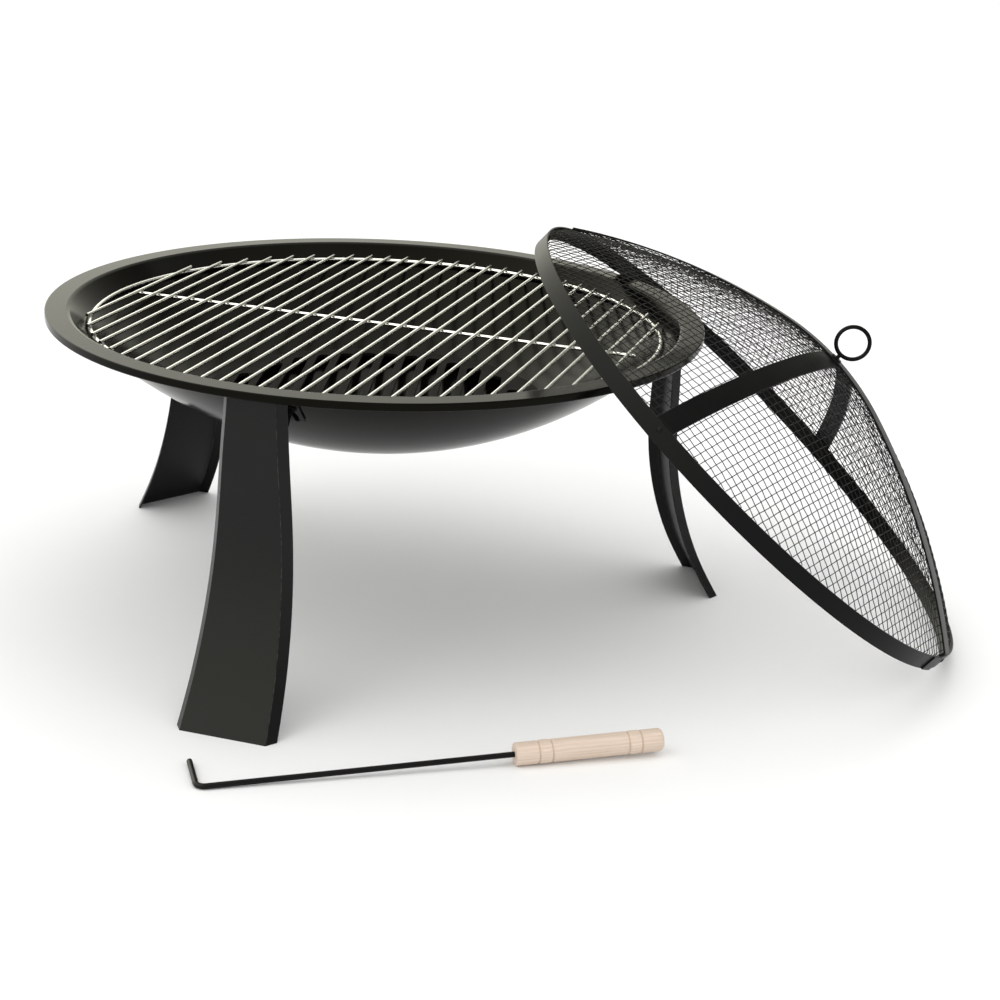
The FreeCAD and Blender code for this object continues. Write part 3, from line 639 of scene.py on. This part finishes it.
def coated_steel(name, coat, roughness, grain_size, grain_depth, edge_width, wear_and_highlight, dust, specular,
                 shade_drift=0.12, roughness_drift=0.05, drift_size=60 * MM,
                 specular_tint=(1.0, 1.0, 1.0)):
    """A black coat on sheet steel with grain, a little edge wear with a painted edge highlight, and
    a trace of dust.
    """
    colours = bpy.context.scene.fire_pit_colours
    material, tree, shader = new_material(name)
    grain = place_group(tree, shared(coat_grain_group), Coat=opaque(coat),
                        Grain_Size=grain_size, Drift_Size=drift_size, Shade_Drift=shade_drift,
                        Roughness=roughness, Roughness_Drift=roughness_drift)
    edge_wear_and_highlight = place_group(tree, shared(edge_wear_and_highlight_group), Coat=grain["Color"],
                       Bare=opaque(colours.edge_bare_and_highlight), Width=edge_width, Amount=wear_and_highlight)
    dusty = place_group(tree, shared(settled_dust_group), Under=edge_wear_and_highlight["Color"],
                        Dust=opaque(colours.dust), Amount=dust)
    rough = work_out(tree, "MULTIPLY_ADD", dusty["Mask"], DUST_DULLS, grain["Roughness"])
    connect(tree, shader, base_color=dusty["Color"], roughness=rough,
            normal=bump(tree, grain["Height"], grain_depth, edge_wear_and_highlight["Normal"]))
    shader.inputs["Specular IOR Level"].default_value = specular
    shader.inputs["Specular Tint"].default_value = opaque(specular_tint)
    return material


# ---------------------------------------------------------------- finishes


def bowl_enamel():
    """Gloss black enamel with a faint orange peel."""
    return coated_steel("bowl_enamel", bpy.context.scene.fire_pit_colours.enamel,
                        roughness=0.13, grain_size=3.2 * MM, grain_depth=0.03 * MM,
                        edge_width=0.7 * MM, wear_and_highlight=0.2, dust=0.003, specular=0.065,
                        shade_drift=0.1, roughness_drift=0.04, drift_size=90 * MM,
                        specular_tint=(1.0, 0.97, 0.78))


def leg_coat():
    """Satin powder coat with a leathery texture."""
    return coated_steel("leg_powder_coat", bpy.context.scene.fire_pit_colours.leg,
                        roughness=0.34, grain_size=1.5 * MM, grain_depth=0.11 * MM,
                        edge_width=1.2 * MM, wear_and_highlight=0.35, dust=0.008, specular=0.19)


def lid_coat():
    """Smoother satin coat of the band, straps and loop."""
    return coated_steel("lid_satin_coat", bpy.context.scene.fire_pit_colours.lid,
                        roughness=0.33, grain_size=1.1 * MM, grain_depth=0.03 * MM,
                        edge_width=0.5 * MM, wear_and_highlight=0.3, dust=0.005, specular=0.1)


def hardware_black():
    """Blackened bolts, nuts, washers and brackets."""
    return coated_steel("blackened_hardware", bpy.context.scene.fire_pit_colours.hardware,
                        roughness=0.42, grain_size=0.5 * MM, grain_depth=0.02 * MM,
                        edge_width=0.4 * MM, wear_and_highlight=0.4, dust=0.006, specular=0.12,
                        drift_size=15 * MM)


def poker_coat():
    """Satin coat of the poker's rod."""
    return coated_steel("poker_satin_coat", bpy.context.scene.fire_pit_colours.poker,
                        roughness=0.34, grain_size=0.8 * MM, grain_depth=0.03 * MM,
                        edge_width=0.3 * MM, wear_and_highlight=0.3, dust=0.015, specular=0.16,
                        drift_size=35 * MM)


def grate_iron():
    """Rough matt black of the fire grate."""
    return coated_steel("fire_grate_black", bpy.context.scene.fire_pit_colours.iron,
                        roughness=0.62, grain_size=1.6 * MM, grain_depth=0.16 * MM,
                        edge_width=0.9 * MM, wear_and_highlight=0.25, dust=0.02, specular=0.12,
                        shade_drift=0.3, roughness_drift=0.1, drift_size=40 * MM)


def plated_wire(name, plate, roughness):
    """Bright drawn wire with a plated skin, a little duller in places."""
    material, tree, shader = new_material(name)
    grain = place_group(tree, shared(coat_grain_group), Coat=opaque(plate),
                        Grain_Size=0.8 * MM, Drift_Size=22 * MM, Shade_Drift=0.1,
                        Roughness=roughness, Roughness_Drift=0.07)
    connect(tree, shader, base_color=grain["Color"], roughness=grain["Roughness"],
            normal=bump(tree, grain["Height"], 0.012 * MM))
    shader.inputs["Metallic"].default_value = 1.0
    return material


def chrome_wire():
    """The cooking grate's bright plating."""
    return plated_wire("bright_plated_wire", bpy.context.scene.fire_pit_colours.chrome, 0.16)


def weld_plate():
    """The same plating over a weld, duller."""
    return plated_wire("plated_weld", bpy.context.scene.fire_pit_colours.weld, 0.34)


def mesh_wire():
    """Dipped wire, painted darker on its inner side as shade."""
    colours = bpy.context.scene.fire_pit_colours
    material, tree, shader = new_material("dipped_mesh_wire")
    grain = place_group(tree, shared(coat_grain_group), Coat=opaque(colours.mesh),
                        Grain_Size=0.5 * MM, Drift_Size=18 * MM, Shade_Drift=0.35,
                        Roughness=0.42, Roughness_Drift=0.08)
    inner_shade = put(tree, "ShaderNodeAttribute", attribute_name="pooled_coat",
                 attribute_type="GEOMETRY").outputs["Fac"]
    # Painted shade: the inner side of each wire takes the darker knot colour.
    coat = mix(tree, inner_shade, grain["Color"], opaque(colours.knot))
    connect(tree, shader, base_color=coat, roughness=grain["Roughness"],
            normal=bump(tree, grain["Height"], 0.02 * MM))
    shader.inputs["Specular IOR Level"].default_value = 0.25
    return material


def handle_wood():
    """Pale turned wood with lengthwise grain, with painted shade in its grooves."""
    colours = bpy.context.scene.fire_pit_colours
    sizes = bpy.context.scene.fire_pit_wood
    material, tree, shader = new_material("turned_pale_wood")
    along, middle = long_axis("poker_handle")
    turned = handle_place(tree, along, middle)
    streak = stretched_noise(tree, turned, sizes.streak_length, sizes.streak_width, 4.0, 0.65)
    pore = between(tree, stretched_noise(tree, turned, sizes.pore_length, sizes.pore_width,
                                         2.0, 0.5), 0.60, 0.74)
    rings = put(tree, "ShaderNodeTexWave", {"Vector": turned, "Scale": 95.0, "Distortion": 2.4,
                                            "Detail": 2.0, "Detail Scale": 30.0},
                wave_type="BANDS", bands_direction="Z").outputs["Fac"]
    ring_share, streak_share, pore_share = 0.3, 0.55, 0.5
    broad = work_out(tree, "MULTIPLY_ADD", rings, ring_share,
                     between(tree, streak, 0.35, 0.7, 0.0, streak_share))
    tone = mix(tree, broad, opaque(colours.wood), opaque(colours.grain))
    pored = mix(tree, work_out(tree, "MULTIPLY", pore, pore_share), tone, opaque(colours.grain))
    # Painted shade: the grooves take the darker groove colour by their depth.
    groove_shaded = mix(tree, groove_shade_mask(tree, turned, skin_radius("poker_handle", along, middle)),
                  pored, opaque(colours.groove_shade))
    height = work_out(tree, "MULTIPLY_ADD", pore, -0.6, streak)
    connect(tree, shader, base_color=groove_shaded,
            roughness=between(tree, streak, 0.2, 0.8, 0.5, 0.68),
            normal=bump(tree, height, sizes.relief))
    return material


def handle_place(tree, along, middle):
    """The place in the handle's own frame: X along the handle, from its middle."""
    place = put(tree, "ShaderNodeTexCoord").outputs["Object"]
    offset = put(tree, "ShaderNodeVectorMath", {0: place, 1: middle},
                 operation="SUBTRACT").outputs[0]
    turn = along.rotation_difference(Vector((1, 0, 0))).to_euler()
    return put(tree, "ShaderNodeVectorRotate", {"Vector": offset, "Rotation": turn},
               rotation_type="EULER_XYZ").outputs[0]


def stretched_noise(tree, place, reach, width, detail, rough):
    """Noise whose features are long along X and narrow across it."""
    scale = (1 / reach, 1 / width, 1 / width)
    drawn = put(tree, "ShaderNodeMapping", {"Vector": place, "Scale": scale},
                vector_type="POINT").outputs[0]
    return noise_at(tree, 1.0, detail, rough, drawn)


def groove_shade_mask(tree, place, skin):
    """How deep a place lies under the handle's skin, for the painted shade in the grooves; left out
    at the rounded ends.
    """
    sizes = bpy.context.scene.fire_pit_wood
    axes = put(tree, "ShaderNodeSeparateXYZ", {0: place}).outputs
    square = work_out(tree, "MULTIPLY_ADD", axes["Y"], axes["Y"],
                      work_out(tree, "MULTIPLY", axes["Z"], axes["Z"]))
    reach = work_out(tree, "SQRT", square)
    strength = 0.5
    sunk = between(tree, reach, skin - sizes.groove_lip, skin - sizes.groove_depth, 0.0, strength)
    ends = between(tree, work_out(tree, "ABSOLUTE", axes["X"]), sizes.end_start, sizes.end_full)
    return work_out(tree, "MULTIPLY", sunk, work_out(tree, "SUBTRACT", 1.0, ends))


def skin_radius(node, along, middle):
    """How far a turned node's skin is from its axis: three quarters of its points lie within."""
    within = 3 / 4
    reaches = sorted((point - middle - (point - middle).project(along)).length
                     for point in corners(node))
    return reaches[int(len(reaches) * within)]


def repaint(material, *names):
    """Give CAD nodes a finish."""
    for name in names:
        for slot in NODES[name].material_slots:
            slot.material = material


# ---------------------------------------------------------------- operators


class FIREPIT_OT_weave_lid_mesh(bpy.types.Operator):
    """Weave the lid's wire mesh over its dome"""

    bl_idname = "firepit.weave_lid_mesh"
    bl_label = "Weave Lid Mesh"

    def execute(self, context):
        sizes = context.scene.fire_pit_mesh
        place = lid_place()
        dome = Dome(place)
        strap = strap_direction(place, "lid_cross_strap")
        knots = loosen(dome, net_knots(dome, sizes.cell, sizes.turn), strap, sizes)
        wires = WireMesh(sizes.wire / 2, sizes.sides)
        for family in (0, 1):
            rows = {}
            for key in knots:
                rows.setdefault(key[1 - family], []).append(key)
            for keys in rows.values():
                wire = weave_wire(dome, knots, sorted(keys), family == 0, sizes)
                if wire is not None:
                    wires.add(*wire)
        vertices = [place @ vertex for vertex in wires.vertices]
        piece = new_piece("lid_woven_mesh", vertices, wires.faces, "lid",
                          mesh_wire())
        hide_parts("lid_mesh")
        self.mark_inner_painted_shade(piece, place, dome, sizes)
        return {"FINISHED"}

    def mark_inner_painted_shade(self, piece, place, dome, sizes):
        """Mark the inner side of every wire, which is painted darker there as shade."""
        back = place.inverted()
        inner_shade = piece.data.attributes.new("pooled_coat", "FLOAT", "POINT")
        for vertex, mark in zip(piece.data.vertices, inner_shade.data):
            point = back @ vertex.co
            skin = dome.point(point.x, point.y)
            # Painted shade: the deeper a point lies inside the dome's skin, the darker its coat.
            mark.value = max(0.0, min(1.0, 0.5 + (skin.z - point.z) / sizes.wire))


class FIREPIT_OT_weld_grate(bpy.types.Operator):
    """Add the spot welds of the cooking grate"""

    bl_idname = "firepit.weld_grate"
    bl_label = "Weld Grate"

    def execute(self, context):
        sizes = context.scene.fire_pit_weld
        crossways = long_axis("cooking_grate_crossbar")[0]
        lengthways = Vector((0, 0, 1)).cross(crossways)
        low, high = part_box("cooking_grate_ring")
        wire = (high.z - low.z) / 2
        hoop = (high.x - low.x) / 2 - wire
        middle = (low + high) / 2
        middle.z = high.z
        places = []
        for across in self.bar_places(crossways, middle, sizes.bar_gap):
            reach = math.sqrt(hoop ** 2 - across ** 2)
            for along in (-reach, 0, reach):
                places.append(middle + crossways * across + lengthways * along)
        vertices, faces = self.beads(places, sizes)
        new_piece("grate_welds", vertices, faces, "cooking_grate", weld_plate())
        return {"FINISHED"}

    def bar_places(self, crossways, middle, gap):
        """How far each bar lies from the middle, across the bars."""
        spots = sorted((point - middle).dot(crossways) for point in corners("cooking_grate_bars"))
        places = []
        start = spots[0]
        for before, here in zip(spots, spots[1:] + [math.inf]):
            if here - before > gap:
                places.append((start + before) / 2)
                start = here
        return places

    def beads(self, places, sizes):
        """Small uneven beads, flattened between the two wires that each joins."""
        ball = bmesh.new()
        bmesh.ops.create_icosphere(ball, subdivisions=2, radius=1)
        shape = [vertex.co.copy() for vertex in ball.verts]
        skin = [[vertex.index for vertex in face.verts] for face in ball.faces]
        ball.free()
        vertices = []
        faces = []
        for place in places:
            first = len(vertices)
            for point in shape:
                bead = Vector((point.x * sizes.spread, point.y * sizes.spread,
                               point.z * sizes.swell)) + place
                vertices.append(bead + point * sizes.roughen * noise.noise(bead / sizes.lump))
            faces += [[first + number for number in face] for face in skin]
        return vertices, faces


class FIREPIT_OT_finish_bowl(bpy.types.Operator):
    """Enamel the bowl"""

    bl_idname = "firepit.finish_bowl"
    bl_label = "Finish Bowl"

    def execute(self, context):
        repaint(bowl_enamel(), "bowl")
        return {"FINISHED"}


class FIREPIT_OT_finish_grates(bpy.types.Operator):
    """Plate the cooking grate and blacken the fire grate"""

    bl_idname = "firepit.finish_grates"
    bl_label = "Finish Grates"

    def execute(self, context):
        repaint(chrome_wire(), "cooking_grate_ring", "cooking_grate_bars", "cooking_grate_crossbar")
        repaint(grate_iron(), "fire_grate")
        return {"FINISHED"}


class FIREPIT_OT_finish_legs(bpy.types.Operator):
    """Coat the legs and blacken what holds them"""

    bl_idname = "firepit.finish_legs"
    bl_label = "Finish Legs"

    def execute(self, context):
        repaint(leg_coat(), *[f"{leg}_leg" for leg in LEGS])
        hardware = shared(hardware_black)
        for part in ("bracket", "bolts", "washers", "wing_nuts"):
            repaint(hardware, *[f"{leg}_leg_{part}" for leg in LEGS])
        return {"FINISHED"}


class FIREPIT_OT_finish_lid(bpy.types.Operator):
    """Coat the lid's band, straps and loop"""

    bl_idname = "firepit.finish_lid"
    bl_label = "Finish Lid"

    def execute(self, context):
        repaint(lid_coat(), "lid_band", "lid_long_strap", "lid_cross_strap", "lid_handle_ring")
        repaint(shared(hardware_black), "lid_rivets", "lid_handle_washer", "lid_handle_nut")
        return {"FINISHED"}


class FIREPIT_OT_finish_poker(bpy.types.Operator):
    """Coat the poker's rod and turn its wooden handle"""

    bl_idname = "firepit.finish_poker"
    bl_label = "Finish Poker"

    def execute(self, context):
        repaint(poker_coat(), "poker_rod")
        repaint(handle_wood(), "poker_handle")
        return {"FINISHED"}


class FIREPIT_OT_set_stage(bpy.types.Operator):
    """Lay the floor, hang the lamps and place the camera"""

    bl_idname = "firepit.set_stage"
    bl_label = "Set Stage"

    def execute(self, context):
        stage = context.scene.fire_pit_stage
        low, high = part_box("bowl")
        axis = (low + high) / 2
        self.lay_floor(stage)
        self.light_room(context, stage)
        for name in ("key", "fill", "top"):
            self.hang_lamp(f"{name}_light", getattr(stage, name), getattr(stage, f"{name}_place"),
                           axis, getattr(stage, f"{name}_width"))
        self.place_camera(context, stage, axis)
        context.scene.view_settings.view_transform = "Standard"
        return {"FINISHED"}

    def lay_floor(self, stage):
        """A wide round floor."""
        shape = bmesh.new()
        bmesh.ops.create_circle(shape, cap_ends=True, segments=96, radius=stage.floor_reach)
        mesh = bpy.data.meshes.new("floor")
        shape.to_mesh(mesh)
        shape.free()
        floor = bpy.data.objects.new("floor", mesh)
        bpy.context.scene.collection.objects.link(floor)
        material, tree, shader = new_material("pale_floor")
        patch_size, darkest = 0.3, 0.985
        tint = between(tree, noise_at(tree, patch_size, 3.0), 0.2, 0.8, darkest, 1.0)
        paint = put(tree, "ShaderNodeVectorMath", {0: stage.floor_colour, "Scale": tint},
                    operation="SCALE").outputs[0]
        connect(tree, shader, base_color=paint)
        shader.inputs["Roughness"].default_value = 0.7
        shader.inputs["Specular IOR Level"].default_value = 0.1
        mesh.materials.append(material)

    def light_room(self, context, stage):
        """Even light from all round. Glossy surfaces see it brighter on the left."""
        world = bpy.data.worlds.new("pale_room")
        world.use_nodes = True
        tree = world.node_tree
        background = tree.nodes["Background"]
        rays = put(tree, "ShaderNodeLightPath").outputs
        tint = mix(tree, rays["Is Glossy Ray"], (1, 1, 1, 1), opaque(stage.mirrored_colour))
        tree.links.new(tint, background.inputs["Color"])
        way = put(tree, "ShaderNodeTexCoord").outputs["Generated"]
        axes = put(tree, "ShaderNodeSeparateXYZ", {0: way}).outputs
        height = between(tree, axes["Z"], *RISE_SPAN, stage.horizon, stage.zenith)
        sideways = between(tree, axes["X"], *SIDE_SPAN, stage.left_gain, stage.right_gain)
        ahead = between(tree, axes["Y"], *DEPTH_SPAN, stage.front_gain, 1.0)
        mirrored = work_out(tree, "MULTIPLY", height, work_out(tree, "MULTIPLY", sideways, ahead))
        spread = put(tree, "ShaderNodeMix", {0: rays["Is Glossy Ray"], 2: stage.sky, 3: mirrored},
                     data_type="FLOAT").outputs[0]
        strength = put(tree, "ShaderNodeMix", {0: rays["Is Camera Ray"], 2: spread,
                                               3: stage.backdrop}, data_type="FLOAT").outputs[0]
        tree.links.new(strength, background.inputs["Strength"])
        context.scene.world = world

    def hang_lamp(self, name, watts, place, target, width):
        """A square soft lamp that looks at the bowl."""
        lamp = bpy.data.lights.new(name, "AREA")
        lamp.energy = watts
        lamp.size = width
        hung = bpy.data.objects.new(name, lamp)
        hung.location = Vector((target.x, target.y, 0)) + Vector(place)
        hung.rotation_euler = (target - hung.location).to_track_quat("-Z", "Y").to_euler()
        bpy.context.scene.collection.objects.link(hung)

    def place_camera(self, context, stage, axis):
        """A camera in front of the bowl, turned, tilted and rolled by the stage's angles."""
        sight = Vector((math.sin(stage.camera_yaw) * math.cos(stage.camera_pitch),
                        math.cos(stage.camera_yaw) * math.cos(stage.camera_pitch),
                        -math.sin(stage.camera_pitch)))
        level = sight.cross(Vector((0, 0, 1))).normalized()
        upright = level.cross(sight)
        roll = Matrix.Rotation(-stage.camera_roll, 3, sight)
        right = roll @ level
        up = roll @ upright
        turn = Matrix((right, up, -sight)).transposed()
        lens = bpy.data.cameras.new("camera")
        lens.lens = stage.camera_lens
        lens.clip_end = 3 * stage.floor_reach
        camera = bpy.data.objects.new("camera", lens)
        place = Vector((axis.x, axis.y - stage.camera_distance, stage.camera_height))
        camera.matrix_world = Matrix.Translation(place) @ turn.to_4x4()
        context.scene.collection.objects.link(camera)
        context.scene.camera = camera


OPERATORS = (
    FIREPIT_OT_finish_bowl,
    FIREPIT_OT_finish_grates,
    FIREPIT_OT_finish_legs,
    FIREPIT_OT_finish_lid,
    FIREPIT_OT_finish_poker,
    FIREPIT_OT_weave_lid_mesh,
    FIREPIT_OT_weld_grate,
    FIREPIT_OT_set_stage,
)

PROPERTY_GROUPS = {
    "fire_pit_mesh": FirePitMeshSizes,
    "fire_pit_weld": FirePitWeldSizes,
    "fire_pit_wood": FirePitWoodSizes,
    "fire_pit_colours": FirePitColours,
    "fire_pit_stage": FirePitStageSizes,
}


class FIREPIT_PT_panel(bpy.types.Panel):
    """Sizes, colours and steps of the fire pit's looks"""

    bl_idname = "FIREPIT_PT_panel"
    bl_label = "Fire Pit"
    bl_space_type = "VIEW_3D"
    bl_region_type = "UI"
    bl_category = "Fire Pit"

    def draw(self, context):
        for group_name, group in PROPERTY_GROUPS.items():
            box = self.layout.box()
            box.label(text=group.__doc__)
            for name in group.__annotations__:
                box.prop(getattr(context.scene, group_name), name)
        for operator in OPERATORS:
            self.layout.operator(operator.bl_idname)


def register():
    """Register the property groups, the operators and the panel."""
    for name, group in PROPERTY_GROUPS.items():
        bpy.utils.register_class(group)
        setattr(bpy.types.Scene, name, PointerProperty(type=group))
    for operator in OPERATORS:
        bpy.utils.register_class(operator)
    bpy.utils.register_class(FIREPIT_PT_panel)


def unregister():
    """Take back everything that register added."""
    bpy.utils.unregister_class(FIREPIT_PT_panel)
    for operator in reversed(OPERATORS):
        bpy.utils.unregister_class(operator)
    for name, group in PROPERTY_GROUPS.items():
        delattr(bpy.types.Scene, name)
        bpy.utils.unregister_class(group)


def main():
    """Run every step."""
    register()
    bpy.ops.firepit.finish_bowl()
    bpy.ops.firepit.finish_grates()
    bpy.ops.firepit.finish_legs()
    bpy.ops.firepit.finish_lid()
    bpy.ops.firepit.finish_poker()
    bpy.ops.firepit.weave_lid_mesh()
    bpy.ops.firepit.weld_grate()
    bpy.ops.firepit.set_stage()


if __name__ == "__main__":
    main()
